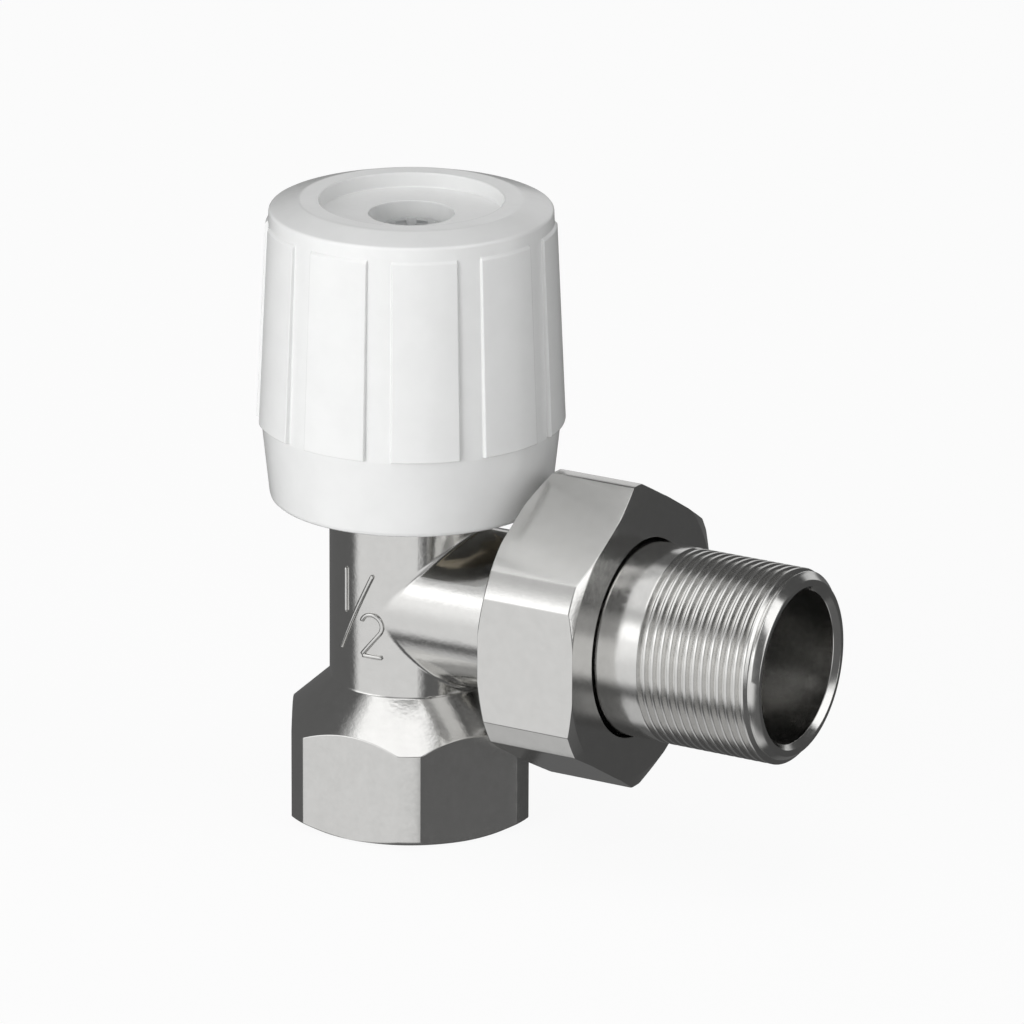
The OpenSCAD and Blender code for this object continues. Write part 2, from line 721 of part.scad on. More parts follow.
module tailpiece() {
    color(nickel) along_x() rotate_extrude() polygon(concat(
        [
            [outlet_r, nose_x], [nose_r - edge, nose_x], [nose_r, nose_x + edge],
            [nose_r, tail_ring_x - tail_groove_w / 2], [tail_groove_r, tail_ring_x - tail_groove_w / 2],
            [tail_groove_r, tail_ring_x + tail_groove_w / 2], [nose_r, tail_ring_x + tail_groove_w / 2],
            [nose_r, collar_x0], [collar_r - edge, collar_x0], [collar_r, collar_x0 + edge],
            [collar_r, collar_x1], [tail_neck_r, collar_x1], [tail_neck_r, tail_thread_x0]
        ],
        turns(tail_crest_r, tail_root_r, tail_thread_x0, tail_pitch, tail_turns, crest_share),
        [
            [tail_root_r, tail_thread_x1], [tail_end_r, tail_x1],
            [tail_bore_r + tail_mouth_chamfer, tail_x1], [tail_bore_r, tail_x1 - tail_mouth_chamfer],
            [tail_bore_r, bore_full_x], [outlet_r, bore_step_x]
        ]
    ));
}

module tail_o_ring() {
    color(rubber) along_x() o_ring(tail_ring_out_r - tail_ring_section, tail_ring_section, tail_ring_x);
}

valve_body();
bonnet();
bonnet_o_ring();
spindle_o_ring_lower();
gland_washer();
packing_ring();
gland_nut();
spindle_o_ring_upper();
spindle();
spindle_clip();
plug();
seal_disc();
seal_washer();
seal_screw();
handwheel();
handwheel_screw();
screw_washer();
union_nut();
tailpiece();
tail_o_ring();
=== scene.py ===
import math
import bpy
import bmesh
import numpy as np
from mathutils import Matrix, Vector


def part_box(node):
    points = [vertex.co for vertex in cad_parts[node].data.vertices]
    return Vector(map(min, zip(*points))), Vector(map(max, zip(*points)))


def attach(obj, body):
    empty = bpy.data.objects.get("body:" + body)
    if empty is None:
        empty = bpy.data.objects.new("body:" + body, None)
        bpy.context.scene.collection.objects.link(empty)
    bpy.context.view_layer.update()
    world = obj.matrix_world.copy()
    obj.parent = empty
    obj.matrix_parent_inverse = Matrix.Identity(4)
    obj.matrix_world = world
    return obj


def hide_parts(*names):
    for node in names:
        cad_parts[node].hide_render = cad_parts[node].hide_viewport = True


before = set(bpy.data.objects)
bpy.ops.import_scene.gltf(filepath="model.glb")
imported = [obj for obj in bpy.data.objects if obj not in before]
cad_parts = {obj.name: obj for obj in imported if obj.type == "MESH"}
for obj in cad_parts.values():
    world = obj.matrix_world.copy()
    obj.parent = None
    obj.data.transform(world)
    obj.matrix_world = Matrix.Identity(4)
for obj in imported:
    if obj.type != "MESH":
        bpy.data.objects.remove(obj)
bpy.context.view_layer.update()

# Angle radiator valve: its looks. Shapes are worked out in millimetres and stored in metres.
MM = 0.001
X, Z = 0, 2


def box_mm(node):
    """Lowest and highest corner of a solid, in millimetres."""
    return [np.array(corner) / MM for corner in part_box(node)]


body_hi = box_mm("valve_body")[1]
nut_lo, nut_hi = box_mm("union_nut")
tail_lo, tail_hi = box_mm("tailpiece")
wheel_lo, wheel_hi = box_mm("handwheel")
gland_hi = box_mm("gland_nut")[1]
screw_lo, screw_hi = box_mm("handwheel_screw")

# Rounding of edges and hollows, from the sharpest
CRISP = 0.05
KEEN = 0.08
FINE = 0.1
SOFT = 0.15
ROUND = 0.2

# How far an easing may reach towards the next point, as a share of the way
EASE_REACH = 0.45

# Points nearer than this are welded, and edges shorter than this are taken out, in metres
WELD = 2e-7
SLIVER = 1e-7

# A thread's height for each share of a turn, and how near to its ends a point moves onto them
THREAD_RISE = [(0, 0), (0.05, 0.1), (0.25, 0.9), (0.3, 1)]
THREAD_SNAP = 0.02

# Body
OUTLET_Z = (tail_lo[Z] + tail_hi[Z]) / 2
NECK_Z = body_hi[Z]
FOOT_FLATS = 25.5
FOOT_CORNER_R = 14.05
FOOT_H = 10.5
SHOULDER_Z = 15.3
NECK_R = 8.75
BRANCH_R = 8.66
CHAMFER_SLOPE = math.tan(math.radians(30))
EDGE = 0.3
FOOT_ROUND = 0.06
BRANCH_HOLLOW = 0.5

# Inlet, seat and chamber
PIPE_PITCH = 1.814
INLET_CREST_R = 9.3
INLET_ROOT_R = 10.48
INLET_TURNS = 6.3
INLET_TAPER = 1.5
INLET_CREST_SHARE = 0.1
SEAT_R = 5.5
SEAT_RIM_W = 0.7
SEAT_Z = OUTLET_Z - 8.2
FLOOR_Z = SEAT_Z - 0.8
FLOOR_ROUND = 0.25
CHAMBER_R = 7.1
OUTLET_R = 6.4
OUTLET_HOLLOW = 0.2
OUTLET_MOUTH = 0.2

# Spigot
FLARE = 2.9
FLARE_LEAD = 0.5
FLARE_ROUND = 0.45
SPIGOT_X0 = nut_lo[X]
SPIGOT_X1 = body_hi[X]
SPIGOT_CREST_R = 13.22
SPIGOT_ROOT_R = 12.06
SPIGOT_PLAIN = 0.2
SPIGOT_END = 0.1
RECESS_R = 9.1
RECESS = 3
RECESS_MOUTH = 0.2
RECESS_LEDGE = 0.5

# Union nut, whose two corners next to the camera are turned further down
NUT_FLATS = 30
NUT_CORNER_R = 16.85
NUT_NEAR_CORNER_R = 16.5
NUT_FACE_R = 15.25
NUT_FRONT_SLOPE = math.tan(math.radians(22))
NUT_HOLE_EDGE = 0.1
NUT_HOLE_ROUND = 0.03
NUT_BACK_EDGE = 2 * EDGE
NUT_LIP = 2.6
NUT_BORE_R = 13.35
NUT_HOLE_R = 10.78

# Tailpiece
TAIL_NECK_R = 10.4
TAIL_FLARE = 2.2
TAIL_FLARE_ROUND = 1.2
TAIL_NECK = 4.8
TAIL_CREST_R = 10.48
TAIL_ROOT_R = 9.92
TAIL_PITCH = 0.98
TAIL_END_R = 9.4
TAIL_END_ROUND = 0.14
TAIL_BORE_R = 8.2
TAIL_STEP = 1.3
TAIL_STEP_ROUND = 0.3
TAIL_FRONT = 3
TAIL_MOUTH = 0.6
TAIL_MOUTH_ROUND = 0.07
TAIL_CHAMFER = 0.65
COLLAR_R = 12.65
NOSE_R = 9.0
TAIL_GROOVE_W = 1.5
TAIL_GROOVE_R = 7.74
TAIL_COLUMNS = 168
PLAY = 0.1

# Handwheel
WHEEL_Z = wheel_lo[Z]
WHEEL_TOP = wheel_hi[Z]
SKIRT_FOOT_R = 15.08
SKIRT_TOP_R = 16
SKIRT_TOP_Z = WHEEL_Z + 8.5
SKIRT_ROUND = 0.6
SHOULDER_R = 15.15
WHEEL_SHOULDER_Z = WHEEL_TOP - 0.98
WHEEL_SHOULDER_ROUND = 0.32
TOP_RING_R = 11.95
TOP_RING_ROUND = 0.25
DISH_R = 9.84
DISH_ROUND = 0.18
DISH_TAPER = 0.12
DISH_Z = WHEEL_TOP - 1.55
WELL_R = 4.57
WELL_ROUND = 0.14
WELL_Z = DISH_Z - 3.5
WALL = 1.7
WALL_HOLLOW = 0.5
CEILING_HOLLOW = 0.6
PLATE = 2
WEB = 2
HUB_R = 6
HUB_HOLLOW = 0.4
HUB_Z = gland_hi[Z] + 1.2
SOCKET = 5.0
SCREW_HOLE_R = 1.6
RIB_COUNT = 10
RIB_ANGLE = 26
RIB_FIRST = 18
RIB_FOOT_H = 0.51
RIB_HEAD_H = 0.3
RIB_LEN = 21.8
# Degrees from the rib's edge, and the share of its height there
RIB_EDGE_SHARES = [(-0.5, 1), (-0.28, 0.97), (-0.1, 0.8), (0.02, 0.2), (0.2, 0.03), (0.42, 0)]
RIB_FLAT_EDGE = 0.9
RIB_GAP_EDGE = 0.8
# How far below the rib's full height, and how far from its end
RIB_FOOT_ROUND = [(0.14, 0.02), (0.03, 0.07), (0, 0.2)]
RIB_HEAD_ROUND = [(0, 0.36), (0.04, 0.2), (0.25, 0.03)]
RIB_HEAD_FADE = 0.06

# Handwheel screw
SCREW_R = 1.5
SCREW_HEAD_R = 3.05
SCREW_HEAD_H = 2.0
SCREW_DOME = 0.4
SCREW_HEAD_EDGE = 0.1
SCREW_ROUND = 0.07
SCREW_COLUMNS = 96
CROSS_TURNS = (30, 120)
CROSS_LEN = 4.2
CROSS_W = 1.15
CROSS_DEEP = 1.3
CROSS_OVERRUN = 0.6
CROSS_FLOOR_LEN_SHARE = 0.6
CROSS_FLOOR_W_SHARE = 0.7

# Raised size marks. Places are across the neck from its axis, and up from the outlet axis.
MARK_H = 0.26
MARK_W = 0.5
MARK_STEP = 0.16
MARK_FULLNESS = 0.55
ONE = [(-3.17, -0.3), (-3.17, 4.9)]
SLASH = [(-4.06, -4.55), (0.54, 4.7)]
TWO_BOW_R = 1.25
TWO_BOW = (0.3, -1.1)
TWO_FOOT = (-0.95, -4.55)
TWO_FOOT_LEN = 2.65
TWO_FOOT_START = 0.03


# Meshes

def smooth_step(x):
    x = np.clip(x, 0, 1)
    return x * x * (3 - 2 * x)


def eased(points, loop=False, steps=2):
    """Rounds the corners of an outline.

    A point is radius, place and easing. The first two are one value, or a value for each column.
    """
    points = [[np.asarray(p[0], float), np.asarray(p[1], float), p[2]] for p in points]
    out = []
    for i, (r, z, ease) in enumerate(points):
        inner = loop or 0 < i < len(points) - 1
        if not (ease and inner):
            out.append((r, z))
            continue
        ends = []
        for other in (points[i - 1], points[(i + 1) % len(points)]):
            dr, dz = other[0] - r, other[1] - z
            run = np.maximum(np.hypot(dr, dz), 1e-6)
            reach = np.minimum(ease, run * EASE_REACH)
            ends.append((r + dr / run * reach, z + dz / run * reach))
        for k in range(steps + 1):
            t = k / steps
            a, b, c = (1 - t) ** 2, 2 * t * (1 - t), t * t
            out.append([a * ends[0][i] + b * (r, z)[i] + c * ends[1][i] for i in (0, 1)])
    return out


def spun(rows, angles):
    """Points of the rows of an outline, turned about the upright axis."""
    rows = [(np.broadcast_to(r, angles.shape), np.broadcast_to(z, angles.shape)) for r, z in rows]
    r = np.array([row[0] for row in rows])
    z = np.array([row[1] for row in rows])
    return np.stack([r * np.cos(angles), r * np.sin(angles), z], -1)


def thread(angles, z0, z1, pitch, low, high, run=0.7, crest=0.26, cut_in=False):
    """Rows of a helical thread between two places, from its grooves' radius to its crests'.

    run is how many turns it takes to reach its full height at an end, and crest is the flat crest's share
    of a turn. A thread that is cut in starts at its crests' radius instead.
    """
    rise = THREAD_RISE[-1][0]
    profile = THREAD_RISE + [(2 * rise + crest - share, height) for share, height in THREAD_RISE[::-1]]
    turns = math.ceil((z1 - z0) / pitch) + 1
    rows = []
    for k in range(-2 * len(profile), turns * len(profile) + 1):
        share, height = profile[k % len(profile)]
        z = z0 + (k // len(profile) + share + angles / (2 * math.pi)) * pitch
        z = np.where(z < z0 + THREAD_SNAP, z0, np.where(z > z1 - THREAD_SNAP, z1, z))
        start, end = smooth_step((z - z0) / (run * pitch)), smooth_step((z1 - z) / (run * pitch))
        height = 1 - (1 - height) * start if cut_in else height * start
        rows.append((low + (high - low) * height * end, z))
    return rows, len(profile)


def tube_faces(rows, columns, shift=0, loop=False):
    """Faces of a tube of rings. A shift joins a ring's last column to a later ring, as on a helix."""
    count = rows if loop else rows - 1
    k, j = np.meshgrid(np.arange(count), np.arange(columns), indexing="ij")
    after = (j + 1) % columns
    jump = np.where(after == 0, shift, 0)
    if loop:
        low, high, up = (k + jump) % rows, (k + 1 + jump) % rows, (k + 1) % rows
    else:
        low, high, up = np.minimum(k + jump, rows - 1), np.minimum(k + 1 + jump, rows - 1), k + 1
    corners = [k * columns + j, low * columns + after, high * columns + after, up * columns + j]
    return np.stack(corners, -1).reshape(-1, 4)


def along_x(points):
    """Lays an upright shape along the tailpiece's axis."""
    return np.stack([points[..., 2], points[..., 1], OUTLET_Z - points[..., 0]], -1)


class Shape:
    """Patches of points that are welded where they meet, and made into one piece."""

    def __init__(self):
        self.points, self.faces, self.finishes, self.count = [], [], [], 0

    def add(self, points, faces, finish=0):
        self.points.append(points.reshape(-1, 3))
        self.faces += [[int(i) + self.count for i in face] for face in faces]
        self.finishes += list(finish) if np.ndim(finish) else [finish] * len(faces)
        self.count += len(self.points[-1])

    def tube(self, points, shift=0, loop=False, finish=0):
        """A patch of rings. finish is one number, or one for each row of faces."""
        if isinstance(finish, list):
            finish = np.repeat(finish, points.shape[1]).tolist()
        self.add(points, tube_faces(*points.shape[:2], shift, loop), finish)

    def make(self, name, materials):
        mesh = bpy.data.meshes.new(name)
        points = np.concatenate(self.points) * MM
        mesh.from_pydata(points.tolist(), [], self.faces)
        for material in materials:
            mesh.materials.append(material)
        mesh.polygons.foreach_set("material_index", self.finishes)
        bm = bmesh.new()
        bm.from_mesh(mesh)
        bmesh.ops.remove_doubles(bm, verts=bm.verts, dist=WELD)
        bmesh.ops.dissolve_degenerate(bm, edges=bm.edges, dist=SLIVER)
        bmesh.ops.recalc_face_normals(bm, faces=bm.faces)
        bm.to_mesh(mesh)
        bm.free()
        shade(mesh)
        piece = bpy.data.objects.new(name, mesh)
        bpy.context.scene.collection.objects.link(piece)
        return piece


def shade(mesh):
    """Smooth shading in which the large faces lead, so that flats stay flat and edges look rounded."""
    mesh.polygons.foreach_set("use_smooth", [True] * len(mesh.polygons))
    count = len(mesh.polygons)
    normals, areas = np.empty(count * 3, np.float32), np.empty(count, np.float32)
    mesh.polygons.foreach_get("normal", normals)
    mesh.polygons.foreach_get("area", areas)
    sizes = np.empty(count, np.int32)
    mesh.polygons.foreach_get("loop_total", sizes)
    corners = np.empty(len(mesh.loops), np.int32)
    mesh.loops.foreach_get("vertex_index", corners)
    weighted = np.repeat(normals.reshape(-1, 3) * areas[:, None], sizes, axis=0)
    total = np.zeros((len(mesh.vertices), 3))
    np.add.at(total, corners, weighted)
    total /= np.maximum(np.linalg.norm(total, axis=1), 1e-20)[:, None]
    mesh.normals_split_custom_set_from_vertices(total.tolist())


def hex_columns(flats, corner_radii, flat_steps=20, corner_steps=3, ease=0.1):
    """Angles of the columns of a hexagon with turned corners, with a pair at each edge of a corner."""
    columns = []
    for i in range(6):
        face, corner, before = 30 + 60 * i, corner_radii[(i + 1) % 6], corner_radii[i]
        gap = math.degrees(ease / corner)
        half = math.degrees(math.acos(flats / 2 / corner))
        half_before = math.degrees(math.acos(flats / 2 / before))
        columns.append(np.linspace(face - half_before + gap, face + half - gap, flat_steps + 1))
        columns.append(np.linspace(face + half + gap, face + 60 - half - gap, corner_steps + 1))
    return np.radians(np.concatenate(columns))


def hex_radius(flats, corner_radii, angles):
    """Radius of a hexagon with turned corners at each angle. The first corner is at angle zero."""
    degrees = np.degrees(angles)
    corner = np.array(corner_radii)[np.round(degrees / 60).astype(int) % 6]
    return np.minimum(flats / 2 / np.cos(np.radians(degrees % 60 - 30)), corner)


def tee_chain(main_r, branch_r, angles, ease, steps=4):
    """The hollow where a branch along +X meets an upright tube, as rings from the tube to the branch."""
    across = branch_r ** 2 - (main_r * np.sin(angles)) ** 2
    rise = np.where(np.cos(angles) > 1e-6, np.sqrt(np.maximum(across, 0)), 0)
    rise[rise < 1e-3 * branch_r] = 0
    gap = np.minimum(ease, rise / 2)
    signed = (np.degrees(angles) + 180) % 360 - 180
    order = np.argsort(signed)
    met = [j for j in order if rise[j] > 0]
    first, last = list(order).index(met[0]) - 1, list(order).index(met[-1]) + 1
    lower = order[first:last + 1]
    upper = lower[-2:0:-1]
    chain = np.concatenate([lower, upper])
    sign = np.concatenate([-np.ones(len(lower)), np.ones(len(upper))])
    x, y = main_r * np.cos(angles[chain]), main_r * np.sin(angles[chain])
    rings = []
    for t in np.linspace(0, 1, steps + 1):
        height = sign * (rise + (1 - t) ** 2 * gap)[chain]
        rings.append(np.stack([x + t * t * gap[chain], y, OUTLET_Z + height], -1))
    return rise + gap, rings


def round_branch(ring, radius, x):
    """A ring of the branch at a place, from the directions of the ring that it starts from."""
    across = ring[:, 1:] - [0, OUTLET_Z]
    across /= np.linalg.norm(across, axis=1)[:, None]
    place = np.broadcast_to(x, len(ring))
    return np.stack([place, across[:, 0] * radius, OUTLET_Z + across[:, 1] * radius], -1)


def flat_ring(outer, inner):
    """Triangles between two rings around the outlet axis, whose counts of points differ."""
    turned_rings = []
    for ring in (outer, inner):
        turn = np.arctan2(ring[:, 1], ring[:, 2] - OUTLET_Z)
        order = np.argsort(turn)
        turned_rings.append((ring[order], np.append(turn[order], turn[order][0] + 2 * math.pi)))
    (outer, outer_turn), (inner, inner_turn) = turned_rings
    faces = []
    i = j = 0
    while i < len(outer) or j < len(inner):
        here, there = i % len(outer), len(outer) + j % len(inner)
        if j == len(inner) or (i < len(outer) and outer_turn[i + 1] <= inner_turn[j + 1]):
            i += 1
            faces.append((here, i % len(outer), there))
        else:
            j += 1
            faces.append((here, len(outer) + j % len(inner), there))
    return np.concatenate([outer, inner]), faces


# Materials

def new_material(name):
    material = bpy.data.materials.new(name)
    material.use_nodes = True
    tree = material.node_tree
    shader = tree.nodes["Principled BSDF"]
    return material, tree, shader


def add(tree, kind, **values):
    """A new node. Values whose names are sockets are set on those, and the others on the node."""
    node = tree.nodes.new(kind)
    for key, value in values.items():
        socket = node.inputs.get(key.replace("_", " "))
        if socket is None:
            setattr(node, key, value)
        else:
            socket.default_value = value
    return node


def place_in_mm(tree, stretch=(1, 1, 1)):
    """The point on the piece in millimetres, stretched where a texture is drawn out."""
    place = add(tree, "ShaderNodeTexCoord")
    scale = add(tree, "ShaderNodeVectorMath", operation="MULTIPLY")
    scale.inputs[1].default_value = [s / MM for s in stretch]
    tree.links.new(place.outputs["Object"], scale.inputs[0])
    return scale.outputs[0]


def noise(tree, place, scale, detail=3, roughness=0.55):
    node = add(tree, "ShaderNodeTexNoise", Scale=scale, Detail=detail, Roughness=roughness)
    tree.links.new(place, node.inputs["Vector"])
    return node.outputs["Fac"]


def ramp(tree, value, low, high, from_low=0.3, from_high=0.7):
    """Spreads a value between two others."""
    node = add(tree, "ShaderNodeMapRange")
    for key, number in (("From Min", from_low), ("From Max", from_high), ("To Min", low), ("To Max", high)):
        node.inputs[key].default_value = number
    tree.links.new(value, node.inputs["Value"])
    return node.outputs["Result"]


def tinted(tree, value, dark, light):
    """A colour between two, by a value."""
    node = add(tree, "ShaderNodeMix", data_type="RGBA")
    node.inputs["A"].default_value = (*dark, 1)
    node.inputs["B"].default_value = (*light, 1)
    tree.links.new(value, node.inputs["Factor"])
    return node.outputs["Result"]


def bumped(tree, height, strength, distance_mm, under=None):
    node = add(tree, "ShaderNodeBump", Strength=strength, Distance=distance_mm * MM)
    tree.links.new(height, node.inputs["Height"])
    if under is not None:
        tree.links.new(under, node.inputs["Normal"])
    return node.outputs["Normal"]


def metal(name, dark, light, rough, layers, tint_scale=0.6):
    """Metal with a mottled tint and bump layers.

    A layer is its noise's scale per mm, its stretch, its strength and its height in mm.
    """
    material, tree, shader = new_material(name)
    place = place_in_mm(tree)
    mottle = noise(tree, place, tint_scale, 4, 0.6)
    tree.links.new(tinted(tree, ramp(tree, mottle, 0, 1), dark, light), shader.inputs["Base Color"])
    wear = noise(tree, place, tint_scale * 3, 3)
    tree.links.new(ramp(tree, wear, *rough), shader.inputs["Roughness"])
    normal = None
    for scale, stretch, strength, height in layers:
        normal = bumped(tree, noise(tree, place_in_mm(tree, stretch), scale, 2), strength, height, normal)
    tree.links.new(normal, shader.inputs["Normal"])
    shader.inputs["Metallic"].default_value = 1
    return material


def plastic(name, dark, light, rough, grain, coat=0.0):
    """Moulded plastic or rubber. The grain is its noise's scale per mm, its strength and its height in mm."""
    material, tree, shader = new_material(name)
    place = place_in_mm(tree)
    mottle = noise(tree, place, 0.25, 3)
    tree.links.new(tinted(tree, ramp(tree, mottle, 0, 1), dark, light), shader.inputs["Base Color"])
    wear = noise(tree, place, 1.6, 3)
    tree.links.new(ramp(tree, wear, *rough), shader.inputs["Roughness"])
    scale, strength, height = grain
    tree.links.new(bumped(tree, noise(tree, place, scale, 3), strength, height), shader.inputs["Normal"])
    shader.inputs["Coat Weight"].default_value = coat
    shader.inputs["Coat Roughness"].default_value = 0.12
    return material


NICKEL_DARK, NICKEL_LIGHT = (0.74, 0.735, 0.72), (0.78, 0.775, 0.76)

# Stretch of a texture: even, drawn up, in rings round the X and the Z axis, and in streaks along X
EVEN = (1, 1, 1)
UPRIGHT = (1, 1, 0.25)
ROUND_X = (6, 0.35, 0.35)
ROUND_Z = (0.35, 0.35, 6)
ALONG_X = (0.08, 1, 1)

forged = metal("nickel_forged", NICKEL_DARK, NICKEL_LIGHT, (0.10, 0.17),
               [(0.55, EVEN, 0.5, 0.035), (2.8, EVEN, 0.6, 0.012)])
machined = metal("nickel_machined", NICKEL_DARK, NICKEL_LIGHT, (0.19, 0.27),
                 [(1.1, EVEN, 0.25, 0.004), (9, UPRIGHT, 0.25, 0.0015)])
nut_metal = metal("nickel_nut", NICKEL_DARK, NICKEL_LIGHT, (0.13, 0.19),
                  [(0.9, EVEN, 0.3, 0.006), (3.2, EVEN, 0.55, 0.008)])
turned = metal("nickel_turned", NICKEL_DARK, NICKEL_LIGHT, (0.12, 0.2),
               [(0.7, EVEN, 0.4, 0.012), (3, ROUND_X, 0.2, 0.002)])
bored = metal("nickel_bored", (0.66, 0.655, 0.64), (0.74, 0.735, 0.72), (0.18, 0.26),
              [(0.6, EVEN, 0.25, 0.006), (2.5, ALONG_X, 0.25, 0.006)])
brass = metal("brass_turned", (0.52, 0.46, 0.36), (0.60, 0.54, 0.43), (0.34, 0.46),
              [(1.0, EVEN, 0.3, 0.006), (4, ROUND_Z, 0.3, 0.003)])
steel = metal("steel_turned", (0.50, 0.50, 0.51), (0.62, 0.62, 0.63), (0.2, 0.32),
              [(1.2, EVEN, 0.3, 0.004), (5, (0.4, 0.4, 5), 0.3, 0.002)])
screw_zinc = metal("screw_zinc", (0.76, 0.77, 0.77), (0.86, 0.87, 0.87), (0.38, 0.5),
                   [(2.0, EVEN, 0.3, 0.006)], 1.5)
white = plastic("white_plastic", (0.885, 0.89, 0.885), (0.915, 0.92, 0.915), (0.2, 0.27),
                (5, 0.15, 0.003), 0.35)
rubber = plastic("rubber", (0.02, 0.02, 0.022), (0.04, 0.04, 0.042), (0.45, 0.6), (6, 0.3, 0.01))
packing = plastic("packing", (0.76, 0.75, 0.71), (0.86, 0.85, 0.82), (0.5, 0.65), (3, 0.4, 0.02))


# Body

FORGED, MACHINED, BORED = 0, 1, 2


def stroke(path, shape, width=MARK_W, height=MARK_H, sides=8):
    """A raised stroke that follows a path of places across and up the front of the neck."""
    path = np.array(path, float)
    lengths = np.concatenate([[0], np.cumsum(np.linalg.norm(np.diff(path, axis=0), axis=1))])
    count = max(int(lengths[-1] / MARK_STEP), 6)
    at = np.linspace(0, lengths[-1], count)
    line = np.stack([np.interp(at, lengths, path[:, i]) for i in (0, 1)], -1)
    run = np.gradient(line, axis=0)
    run /= np.linalg.norm(run, axis=1)[:, None]
    side = np.stack([-run[:, 1], run[:, 0]], -1)
    ends = np.minimum(at, lengths[-1] - at)
    taper = np.sqrt(np.clip(1 - (1 - np.minimum(ends / (width / 2), 1)) ** 2, 0.0004, 1))
    angles = np.linspace(0, 2 * math.pi, sides * 2, endpoint=False)
    rings = []
    for centre, across, share in zip(line, side, taper):
        flat = centre + across * (np.cos(angles) * width / 2 * share)[:, None]
        round_over = np.where(np.sin(angles) > 0, np.abs(np.sin(angles)) ** MARK_FULLNESS, np.sin(angles))
        lift = round_over * height * share
        front = -np.sqrt(NECK_R ** 2 - flat[:, 0] ** 2)
        out = np.stack([flat[:, 0], front, 0 * front], -1) / NECK_R
        rings.append(np.stack([flat[:, 0], front, OUTLET_Z + flat[:, 1]], -1) + out * lift[:, None])
    rings = np.array(rings)
    caps = [np.broadcast_to(rings[i].mean(0), rings[i].shape) for i in (0, -1)]
    shape.tube(np.concatenate([[caps[0]], rings, [caps[1]]]), finish=FORGED)


def size_marks(shape):
    """The generic size mark: a one, a slash and a two."""
    stroke(ONE, shape)
    stroke(SLASH, shape)
    bow = []
    for turn in np.radians(range(168, -41, -8)):
        bow.append((TWO_BOW[0] + TWO_BOW_R * math.cos(turn), TWO_BOW[1] + TWO_BOW_R * math.sin(turn)))
    stroke(bow + [TWO_FOOT], shape)
    x, y = TWO_FOOT
    stroke([(x + TWO_FOOT_START, y), (x + TWO_FOOT_LEN, y)], shape)


